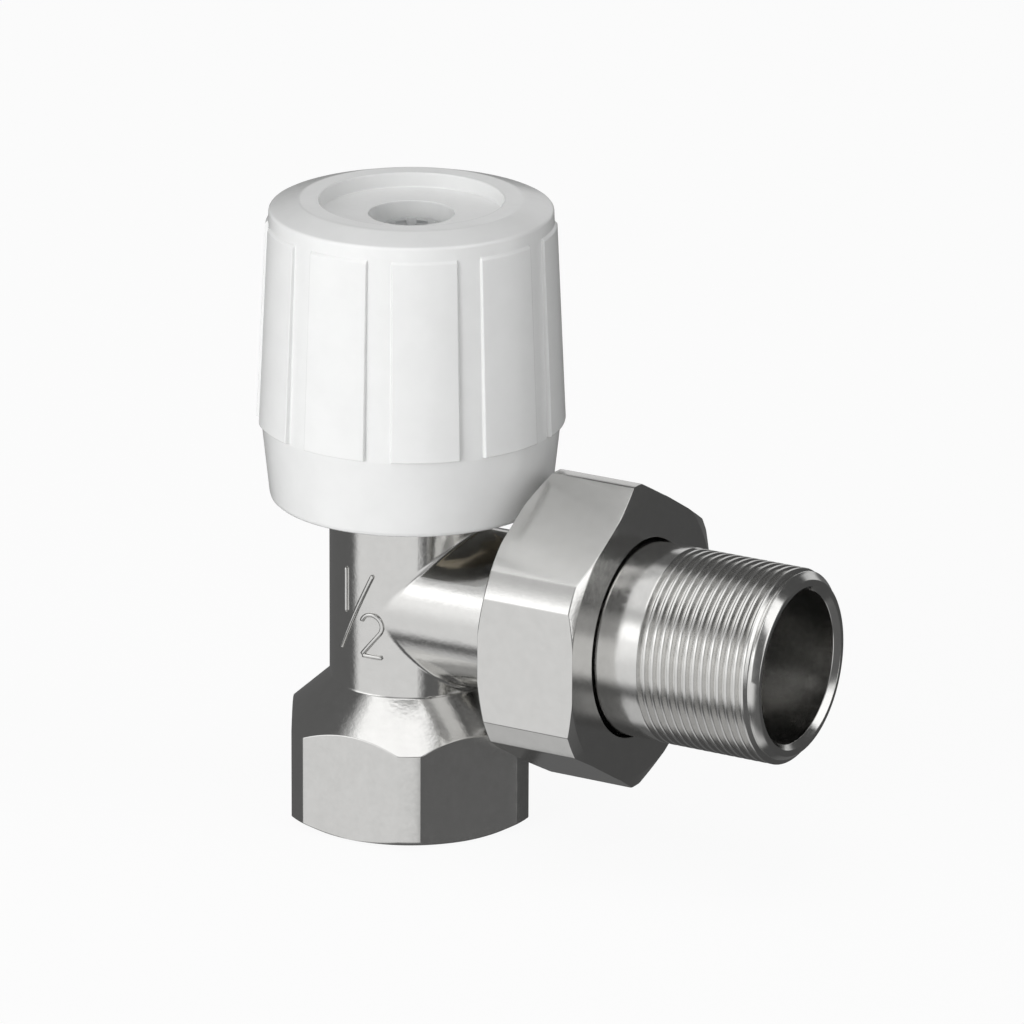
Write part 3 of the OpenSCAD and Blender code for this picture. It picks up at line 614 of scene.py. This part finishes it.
def make_body():
    shape = Shape()
    corners = [FOOT_CORNER_R] * 6
    angles = hex_columns(FOOT_FLATS, corners)
    side = hex_radius(FOOT_FLATS, corners, angles)
    face_r = FOOT_FLATS / 2
    low = (side - face_r) * CHAMFER_SLOPE
    cone = (SHOULDER_Z - FOOT_H) / (FOOT_CORNER_R - NECK_R)
    high = SHOULDER_Z - (side - NECK_R) * cone
    outer_gap, outer_tee = tee_chain(NECK_R, BRANCH_R, angles, BRANCH_HOLLOW)
    inner_gap, inner_tee = tee_chain(CHAMBER_R, OUTLET_R, angles, OUTLET_HOLLOW, 2)
    outer_branch, inner_branch = outer_tee[-1], inner_tee[-1]
    thread_z0, thread_z1 = EDGE, EDGE + INLET_TURNS * PIPE_PITCH

    # From the chamber's lower part down through the seat and the inlet, round the foot and up to the branch
    down = eased([
        (CHAMBER_R, OUTLET_Z - inner_gap, 0), (CHAMBER_R, FLOOR_Z, FLOOR_ROUND),
        (SEAT_R + SEAT_RIM_W, FLOOR_Z, FINE), (SEAT_R + SEAT_RIM_W, SEAT_Z, FINE),
        (SEAT_R, SEAT_Z, SOFT), (SEAT_R, thread_z1 + INLET_TAPER, ROUND), (INLET_CREST_R, thread_z1, 0),
    ])
    shape.tube(spun(down, angles), finish=BORED)
    rows, shift = thread(angles, thread_z0, thread_z1, PIPE_PITCH, INLET_CREST_R, INLET_ROOT_R,
                         run=0.5, crest=INLET_CREST_SHARE)
    shape.tube(spun(rows, angles), shift, finish=BORED)
    middle = (low + high) / 2
    foot = eased([
        (INLET_CREST_R, thread_z0, 0), (INLET_CREST_R + EDGE, 0, FOOT_ROUND), (face_r, 0, FINE),
        (side, low, FINE), (side, middle, 0),
    ])
    shape.tube(spun(foot, angles), finish=MACHINED)
    up = eased([
        (side, middle, 0), (side, high, FINE), (NECK_R, SHOULDER_Z, ROUND), (NECK_R, OUTLET_Z - outer_gap, 0),
    ])
    shape.tube(spun(up, angles), finish=[MACHINED] + [FORGED] * (len(up) - 2))

    # From the branch up round the neck's rim and down to the outlet passage
    over = eased([
        (NECK_R, OUTLET_Z + outer_gap, 0), (NECK_R, NECK_Z, SOFT), (CHAMBER_R + EDGE, NECK_Z, CRISP),
        (CHAMBER_R, NECK_Z - EDGE, CRISP), (CHAMBER_R, OUTLET_Z + inner_gap, 0),
    ])
    shape.tube(spun(over, angles), finish=FORGED)

    # Branch, flare, spigot and recess
    flare_x = SPIGOT_X0 - FLARE
    branch_x = flare_x - FLARE_LEAD
    starts = outer_branch[:, 0]
    places = [starts + (branch_x - starts) * t for t in (0.1, 0.3, 0.6, 1)]
    runs = [round_branch(outer_branch, BRANCH_R, x) for x in places]
    shape.tube(np.array(outer_tee + runs), finish=FORGED)
    thread_x0, thread_x1 = SPIGOT_X0 + SPIGOT_PLAIN, SPIGOT_X1 - SPIGOT_END
    flare = eased([
        (BRANCH_R, branch_x, 0), (BRANCH_R, flare_x, FLARE_ROUND), (SPIGOT_ROOT_R, SPIGOT_X0, SOFT),
        (SPIGOT_ROOT_R, thread_x0, 0),
    ])
    shape.tube(np.array([round_branch(outer_branch, r, x) for r, x in flare]), finish=MACHINED)
    turn = -np.unwrap(np.arctan2(outer_branch[:, 1], outer_branch[:, 2] - OUTLET_Z))
    turn -= turn.min()
    rows, shift = thread(turn, thread_x0, thread_x1, PIPE_PITCH, SPIGOT_ROOT_R, SPIGOT_CREST_R, run=0.4)
    across, up = (round_branch(outer_branch, 1, 0)[:, 1:] - [0, OUTLET_Z]).T
    crest = np.array([np.stack([x, across * r, OUTLET_Z + up * r], -1) for r, x in rows])
    shape.tube(crest, shift, finish=MACHINED)
    recess_x = SPIGOT_X1 - RECESS
    end = eased([
        (SPIGOT_ROOT_R, thread_x1, 0), (SPIGOT_ROOT_R, SPIGOT_X1, KEEN),
        (RECESS_R + RECESS_MOUTH, SPIGOT_X1, CRISP), (RECESS_R, SPIGOT_X1 - RECESS_MOUTH, CRISP),
        (RECESS_R, recess_x, FINE), (RECESS_R - RECESS_LEDGE, recess_x, 0),
    ])
    end_rings = [round_branch(outer_branch, r, x) for r, x in end]
    shape.tube(np.array(end_rings), finish=MACHINED)

    # Outlet passage, from the chamber to the floor of the recess
    starts = inner_branch[:, 0]
    mouth_x = recess_x - OUTLET_MOUTH
    places = [starts + (mouth_x - starts) * t for t in (0.05, 0.5, 1)]
    runs = [round_branch(inner_branch, OUTLET_R, x) for x in places]
    runs.append(round_branch(inner_branch, OUTLET_R + OUTLET_MOUTH, recess_x))
    shape.tube(np.array(inner_tee + runs), finish=BORED)
    shape.add(*flat_ring(end_rings[-1], runs[-1]), finish=MACHINED)

    size_marks(shape)
    body = shape.make("valve_body_skin", [forged, machined, bored])
    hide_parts("valve_body")
    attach(body, "root")
    return body


# Union nut

def make_union_nut():
    shape = Shape()
    corners = [NUT_CORNER_R] * 4 + [NUT_NEAR_CORNER_R] * 2
    angles = hex_columns(NUT_FLATS, corners)
    side = hex_radius(NUT_FLATS, corners, angles)
    x0, x1 = nut_lo[X], nut_hi[X]
    beyond = np.maximum(side - NUT_FACE_R, 0)
    rim = np.minimum(side, NUT_FACE_R)
    rows = eased([
        (NUT_BORE_R + NUT_BACK_EDGE, x0, KEEN), (rim, x0, FINE), (side, x0 + beyond * CHAMFER_SLOPE, FINE),
        (side, x1 - beyond * NUT_FRONT_SLOPE, FINE), (rim, x1, FINE),
        (NUT_HOLE_R + NUT_HOLE_EDGE, x1, NUT_HOLE_ROUND), (NUT_HOLE_R, x1 - NUT_HOLE_EDGE, NUT_HOLE_ROUND),
        (NUT_HOLE_R, x1 - NUT_LIP, FINE), (NUT_BORE_R, x1 - NUT_LIP, FINE),
        (NUT_BORE_R, x0 + NUT_BACK_EDGE, KEEN),
    ], loop=True)
    shape.tube(along_x(spun(rows, angles)), loop=True)
    nut = shape.make("union_nut_skin", [nut_metal])
    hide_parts("union_nut")
    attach(nut, "union_nut_set")
    return nut


# Tailpiece

TURNED, BORE = 0, 1


def make_tailpiece():
    shape = Shape()
    angles = np.linspace(0, 2 * math.pi, TAIL_COLUMNS, endpoint=False)
    x1 = tail_hi[X]
    nose_x = tail_lo[X]
    collar_x0 = SPIGOT_X1 + PLAY
    collar_x1 = nut_hi[X] - NUT_LIP - PLAY
    thread_x0 = nut_hi[X] + TAIL_NECK
    thread_x1 = x1 - TAIL_CHAMFER
    groove = (nose_x + SPIGOT_X1) / 2
    groove_x0, groove_x1 = groove - TAIL_GROOVE_W / 2, groove + TAIL_GROOVE_W / 2
    step_x = collar_x1 + TAIL_STEP
    front_x = x1 - TAIL_FRONT
    front = eased([
        (TAIL_ROOT_R, thread_x1, 0), (TAIL_END_R, x1, TAIL_END_ROUND),
        (TAIL_BORE_R + TAIL_MOUTH, x1, TAIL_MOUTH_ROUND), (TAIL_BORE_R, x1 - TAIL_MOUTH, TAIL_MOUTH_ROUND),
        (TAIL_BORE_R, front_x, 0),
    ])
    shape.tube(along_x(spun(front, angles)), finish=TURNED)
    inner = eased([
        (TAIL_BORE_R, front_x, 0), (TAIL_BORE_R, step_x + TAIL_BORE_R - OUTLET_R, TAIL_STEP_ROUND),
        (OUTLET_R, step_x, TAIL_STEP_ROUND), (OUTLET_R, nose_x, FINE),
        (NOSE_R - EDGE, nose_x, KEEN), (NOSE_R, nose_x + EDGE, KEEN),
        (NOSE_R, groove_x0, CRISP), (TAIL_GROOVE_R, groove_x0, CRISP),
        (TAIL_GROOVE_R, groove_x1, CRISP), (NOSE_R, groove_x1, CRISP),
        (NOSE_R, collar_x0, CRISP), (COLLAR_R - EDGE, collar_x0, KEEN),
        (COLLAR_R, collar_x0 + EDGE, KEEN), (COLLAR_R, collar_x1, FINE), (TAIL_NECK_R, collar_x1, 0),
    ])
    shape.tube(along_x(spun(inner, angles)), finish=BORE)
    neck = eased([
        (TAIL_NECK_R, collar_x1, 0), (TAIL_NECK_R, nut_hi[X] - NUT_HOLE_EDGE, FINE),
        (TAIL_CREST_R, nut_hi[X] + TAIL_FLARE, TAIL_FLARE_ROUND), (TAIL_CREST_R, thread_x0, 0),
    ], steps=5)
    shape.tube(along_x(spun(neck, angles)), finish=TURNED)
    rows, shift = thread(angles, thread_x0, thread_x1, TAIL_PITCH, TAIL_ROOT_R, TAIL_CREST_R,
                         run=0.5, cut_in=True)
    shape.tube(along_x(spun(rows, angles)), shift, finish=TURNED)
    tail = shape.make("tailpiece_skin", [turned, bored])
    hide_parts("tailpiece")
    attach(tail, "tail_set")
    return tail


# Handwheel

def make_handwheel():
    shape = Shape()
    half = RIB_ANGLE / 2
    period = 360 / RIB_COUNT
    plain = [(a, 1) for a in np.linspace(0, half - RIB_FLAT_EDGE, 8)]
    gap = [(a, 0) for a in np.linspace(half + RIB_GAP_EDGE, period / 2, 4)]
    right = plain + [(half + a, share) for a, share in RIB_EDGE_SHARES] + gap
    one = np.array([(-a, share) for a, share in right[:0:-1]][1:] + right)
    angles = np.radians(np.concatenate([RIB_FIRST + i * period + one[:, 0] for i in range(RIB_COUNT)]))
    rib = np.tile(one[:, 1], RIB_COUNT)

    def side(z):
        """Radius of the wheel between its ribs."""
        return SKIRT_TOP_R + (SHOULDER_R - SKIRT_TOP_R) * (z - SKIRT_TOP_Z) / (WHEEL_SHOULDER_Z - SKIRT_TOP_Z)

    z0 = SKIRT_TOP_Z + EDGE / 2
    z1 = z0 + RIB_LEN
    ribs = [(side(z0) + rib * (RIB_FOOT_H - less), z0 + up, 0) for less, up in RIB_FOOT_ROUND]
    ribs += [(side(z1) + rib * (RIB_HEAD_H - less), z1 - down, 0) for less, down in RIB_HEAD_ROUND]
    ceiling = DISH_Z - PLATE
    web_z = WELL_Z - WEB
    square = SOCKET / 2 / np.maximum(np.abs(np.cos(angles)), np.abs(np.sin(angles)))
    inner = SKIRT_FOOT_R - WALL
    rows = eased([
        (inner, WHEEL_Z, SOFT), (SKIRT_FOOT_R, WHEEL_Z, SKIRT_ROUND), (SKIRT_TOP_R, SKIRT_TOP_Z, SOFT),
        (side(z0), z0, 0), *ribs, (side(z1), z1 + RIB_HEAD_FADE, 0),
        (SHOULDER_R, WHEEL_SHOULDER_Z, WHEEL_SHOULDER_ROUND), (TOP_RING_R, WHEEL_TOP, TOP_RING_ROUND),
        (DISH_R, WHEEL_TOP, DISH_ROUND), (DISH_R - DISH_TAPER, DISH_Z, ROUND),
        (WELL_R, DISH_Z, WELL_ROUND), (WELL_R, WELL_Z, ROUND),
        (SCREW_HOLE_R, WELL_Z, CRISP), (SCREW_HOLE_R, web_z, CRISP),
        (square, web_z, CRISP), (square, HUB_Z, FINE), (HUB_R, HUB_Z, ROUND), (HUB_R, ceiling, HUB_HOLLOW),
        (SHOULDER_R - WALL, ceiling, CEILING_HOLLOW), (SKIRT_TOP_R - WALL, SKIRT_TOP_Z, WALL_HOLLOW),
    ], loop=True, steps=3)
    shape.tube(spun(rows, angles), loop=True)
    wheel = shape.make("handwheel_shell", [white])
    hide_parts("handwheel")
    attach(wheel, "handwheel_set")
    return wheel


# Handwheel screw

def apply_modifiers(piece):
    bpy.context.view_layer.update()
    made = bpy.data.meshes.new_from_object(piece.evaluated_get(bpy.context.evaluated_depsgraph_get()))
    piece.modifiers.clear()
    piece.data = made


def cut_away(piece, cutter):
    """Cuts one shape out of another, exactly."""
    step = piece.modifiers.new("cut", "BOOLEAN")
    step.operation = "DIFFERENCE"
    step.solver = "EXACT"
    step.object = cutter
    apply_modifiers(piece)
    bpy.data.objects.remove(cutter)


def ease_edges(piece, width_mm, angle=30):
    """Rounds the sharp edges of a piece."""
    step = piece.modifiers.new("ease", "BEVEL")
    step.width = width_mm * MM
    step.segments = 2
    step.limit_method = "ANGLE"
    step.angle_limit = math.radians(angle)
    apply_modifiers(piece)
    shade(piece.data)


def cross_arm(turn, top):
    """A tapered block that cuts one arm of the cross recess."""
    along = np.array([math.cos(math.radians(turn)), math.sin(math.radians(turn)), 0])
    across = np.array([-along[1], along[0], 0])
    floor = (top - CROSS_DEEP, CROSS_LEN * CROSS_FLOOR_LEN_SHARE, CROSS_W * CROSS_FLOOR_W_SHARE)
    mouth = (top + CROSS_OVERRUN, CROSS_LEN, CROSS_W)
    corners = []
    for z, length, width in (floor, mouth):
        for a, b in ((-1, -1), (1, -1), (1, 1), (-1, 1)):
            corners.append(along * a * length / 2 + across * b * width / 2 + [0, 0, z])
    sides = [(i, (i + 1) % 4, (i + 1) % 4 + 4, i + 4) for i in range(4)]
    arm = Shape()
    arm.add(np.array(corners), [(0, 3, 2, 1), (4, 5, 6, 7)] + sides)
    return arm.make("cross_arm", [screw_zinc])


def make_screw():
    foot, top = screw_lo[Z], screw_hi[Z]
    head_z = top - SCREW_HEAD_H
    dome_r = (SCREW_HEAD_R ** 2 + SCREW_DOME ** 2) / (2 * SCREW_DOME)
    angles = np.linspace(0, 2 * math.pi, SCREW_COLUMNS, endpoint=False)
    bow = [(r, top - dome_r + math.sqrt(dome_r ** 2 - r * r)) for r in np.linspace(SCREW_HEAD_R, 0, 9)]
    bow[0] = (SCREW_HEAD_R, bow[0][1] - SCREW_HEAD_EDGE)
    rows = [
        (0.0, foot), (SCREW_R - EDGE, foot), (SCREW_R, foot + EDGE), (SCREW_R, head_z),
        (SCREW_HEAD_R - SCREW_HEAD_EDGE, head_z), (SCREW_HEAD_R, head_z + SCREW_HEAD_EDGE),
    ]
    shape = Shape()
    shape.tube(spun(rows + bow, angles))
    screw = shape.make("handwheel_screw_head", [screw_zinc])
    for turn in CROSS_TURNS:
        cut_away(screw, cross_arm(turn, top))
    ease_edges(screw, SCREW_ROUND)
    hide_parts("handwheel_screw")
    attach(screw, "handwheel_set")
    return screw


# The pieces

make_body()
make_union_nut()
make_tailpiece()
make_handwheel()
make_screw()

finishes = {
    "bonnet": brass, "gland_nut": brass, "plug": brass,
    "spindle": steel, "spindle_clip": steel, "seal_washer": steel, "seal_screw": steel,
    "gland_washer": steel, "screw_washer": screw_zinc, "packing_ring": packing,
    "bonnet_o_ring": rubber, "spindle_o_ring_lower": rubber, "spindle_o_ring_upper": rubber,
    "seal_disc": rubber, "tail_o_ring": rubber,
}
for node, material in finishes.items():
    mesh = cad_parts[node].data
    mesh.materials.clear()
    mesh.materials.append(material)


# Floor. To the camera it is mostly plain white, and the rest of it takes the object's shadow.

FLOOR_HALF = 4.0
FLOOR_DROP = 0.0002
FLOOR_COLOUR = (0.85, 0.85, 0.85, 1)
FLOOR_ROUGHNESS = 0.9
FLOOR_WHITE_SHARE = 0.93


def make_floor():
    mesh = bpy.data.meshes.new("floor")
    corners = [(x * FLOOR_HALF, y * FLOOR_HALF, -FLOOR_DROP) for x, y in ((-1, -1), (1, -1), (1, 1), (-1, 1))]
    mesh.from_pydata(corners, [], [(0, 1, 2, 3)])
    floor = bpy.data.objects.new("floor", mesh)
    bpy.context.scene.collection.objects.link(floor)
    material, tree, shader = new_material("pale_floor")
    shader.inputs["Base Color"].default_value = FLOOR_COLOUR
    shader.inputs["Roughness"].default_value = FLOOR_ROUGHNESS
    shine = add(tree, "ShaderNodeEmission", Strength=1.0)
    both = add(tree, "ShaderNodeMixShader")
    path = add(tree, "ShaderNodeLightPath")
    share = add(tree, "ShaderNodeMath", operation="MULTIPLY")
    share.inputs[1].default_value = FLOOR_WHITE_SHARE
    tree.links.new(path.outputs["Is Camera Ray"], share.inputs[0])
    tree.links.new(share.outputs[0], both.inputs["Fac"])
    tree.links.new(shader.outputs[0], both.inputs[1])
    tree.links.new(shine.outputs[0], both.inputs[2])
    tree.links.new(both.outputs[0], tree.nodes["Material Output"].inputs["Surface"])
    mesh.materials.append(material)
    floor.visible_glossy = False


make_floor()


# Studio: soft cards in a dark room, which the metal reflects. Azimuth runs from +X towards +Y, in degrees.

def direction(azimuth, elevation):
    a, e = math.radians(azimuth), math.radians(elevation)
    return Vector((math.cos(a) * math.cos(e), math.sin(a) * math.cos(e), math.sin(e)))


# Strength of the room, and the share of the white background that mixes into reflections
ROOM = 0.005
SHINE_SHARE = 0.07

# Middle and half width in azimuth, lower and upper edge in elevation, softness, strength above the room
WALL_CARDS = [
    (-120, 150, -100, 100, 8, 0.05),
    (-95, 49, -34, 11, 7, 0.72),
    (-122, 24, 11, 30, 7, 0.68),
    (-122, 24, -4, 32, 12, 0.3),
    (-122, 24, 14, 28, 4, 0.35),
    (-66, 24, 12, 34, 8, 0.3),
    (21, 12, -12, 14, 4, 1.4),
    (4, 24, 14, 57, 4, 1.3),
    (102, 22, 2, 26, 4, 0.6),
]

# Overhead 1 or underfoot -1, its left, right, front and rear edge as shares of the room's radius, softness,
# strength above the room
LEVEL_CARDS = [
    (1, -0.55, 0.33, -0.8, 0.4, 0.08, 0.5),
    (1, -0.45, 0.31, -0.55, 0.13, 0.06, 0.7),
    (-1, -0.6, 0.4, -0.5, 0.1, 0.1, 0.46),
]


def make_world():
    world = bpy.data.worlds.new("studio")
    bpy.context.scene.world = world
    world.use_nodes = True
    tree = world.node_tree
    place = add(tree, "ShaderNodeTexCoord").outputs["Generated"]
    split = add(tree, "ShaderNodeSeparateXYZ")
    tree.links.new(place, split.inputs[0])
    x, y, z = split.outputs

    def worked(operation, *values):
        """A sum worked out by a node, from numbers and other sockets."""
        node = add(tree, "ShaderNodeMath", operation=operation)
        for socket, value in zip(node.inputs, values):
            if isinstance(value, (int, float)):
                socket.default_value = value
            else:
                tree.links.new(value, socket)
        return node.outputs[0]

    def along(axis):
        node = add(tree, "ShaderNodeVectorMath", operation="DOT_PRODUCT")
        node.inputs[1].default_value = axis
        tree.links.new(place, node.inputs[0])
        return node.outputs["Value"]

    def edge(value, outside, inside):
        """Fades in from outside to inside."""
        node = add(tree, "ShaderNodeMapRange", interpolation_type="SMOOTHSTEP")
        for key, number in (("From Min", outside), ("From Max", inside), ("To Min", 0), ("To Max", 1)):
            node.inputs[key].default_value = number
        tree.links.new(value, node.inputs["Value"])
        return node.outputs["Result"]

    def band(value, low, high, soft):
        """One between two places, with soft edges."""
        return worked("MULTIPLY", edge(value, low - soft, low + soft), edge(value, high + soft, high - soft))

    elevation = worked("ARCSINE", z)
    total = ROOM
    for middle, half, low, high, soft, strength in WALL_CARDS:
        off = worked("ARCTAN2", along(direction(middle + 90, 0)), along(direction(middle, 0)))
        half, low, high, soft = (math.radians(v) for v in (half, low, high, soft))
        card = worked("MULTIPLY", band(off, -half, half, soft), band(elevation, low, high, soft))
        total = worked("ADD", total, worked("MULTIPLY", card, strength))
    for side, left, right, front, rear, soft, strength in LEVEL_CARDS:
        card = worked("MULTIPLY", band(x, left, right, soft), band(y, front, rear, soft))
        card = worked("MULTIPLY", card, worked("GREATER_THAN", worked("MULTIPLY", z, side), 0.0))
        total = worked("ADD", total, worked("MULTIPLY", card, strength))

    white = add(tree, "ShaderNodeBackground", Strength=1.0)
    lit = tree.nodes["Background"]
    tree.links.new(total, lit.inputs["Strength"])
    lit.inputs["Color"].default_value = white.inputs["Color"].default_value = (1, 1, 1, 1)
    both = add(tree, "ShaderNodeMixShader")
    path = add(tree, "ShaderNodeLightPath").outputs
    shine = worked("MULTIPLY", worked("ADD", path["Is Glossy Ray"], path["Is Transmission Ray"]), SHINE_SHARE)
    tree.links.new(worked("ADD", path["Is Camera Ray"], shine), both.inputs["Fac"])
    tree.links.new(lit.outputs[0], both.inputs[1])
    tree.links.new(white.outputs[0], both.inputs[2])
    tree.links.new(both.outputs[0], tree.nodes["World Output"].inputs["Surface"])


make_world()


# Lamps, which light the plastic. The metal shows the cards only.

OBJECT_CENTRE = Vector((0.01, 0, 0.035))
LAMP_DISTANCE = 0.6


def area_light(name, azimuth, elevation, size, power, distance=LAMP_DISTANCE):
    data = bpy.data.lights.new(name, "AREA")
    data.shape = "DISK"
    data.size = size
    data.energy = power
    lamp = bpy.data.objects.new(name, data)
    lamp.location = OBJECT_CENTRE + direction(azimuth, elevation) * distance
    lamp.rotation_mode = "QUATERNION"
    lamp.rotation_quaternion = direction(azimuth, elevation).to_track_quat("Z", "Y")
    lamp.visible_glossy = False
    bpy.context.scene.collection.objects.link(lamp)


area_light("key", azimuth=-98, elevation=12, size=0.35, power=1.48)
area_light("top", azimuth=-90, elevation=84, size=0.3, power=0.24)


# Camera, solved from the photo: it looks along +Y from 30 degrees to the right and 18 degrees above

CAMERA_AZIMUTH, CAMERA_ELEVATION, CAMERA_ROLL = 29.981, 18.445, 0.273
CAMERA_DISTANCE = 1.0
FOCAL_PX = 9414.85
IMAGE_PX = 1024
SENSOR = 36.0
TARGET = Vector((20, 0, 30)) * MM
TARGET_PX = (572.994, 572.546)


def make_camera():
    back = direction(CAMERA_AZIMUTH - 90, CAMERA_ELEVATION)
    right = direction(CAMERA_AZIMUTH, 0)
    up = back.cross(right)
    roll = math.radians(CAMERA_ROLL)
    turned_right = right * math.cos(roll) + up * math.sin(roll)
    turned_up = up * math.cos(roll) - right * math.sin(roll)
    off_x, off_y = ((px - IMAGE_PX / 2) / FOCAL_PX * CAMERA_DISTANCE for px in TARGET_PX)
    data = bpy.data.cameras.new("camera")
    data.sensor_width = SENSOR
    data.lens = FOCAL_PX / IMAGE_PX * SENSOR
    data.clip_start, data.clip_end = 0.01, 100
    camera = bpy.data.objects.new("camera", data)
    place = TARGET + back * CAMERA_DISTANCE - turned_right * off_x + turned_up * off_y
    turn = Matrix((turned_right, turned_up, back)).transposed()
    camera.matrix_world = Matrix.Translation(place) @ turn.to_4x4()
    bpy.context.scene.collection.objects.link(camera)
    bpy.context.scene.camera = camera


make_camera()
bpy.context.scene.view_settings.view_transform = "Standard"
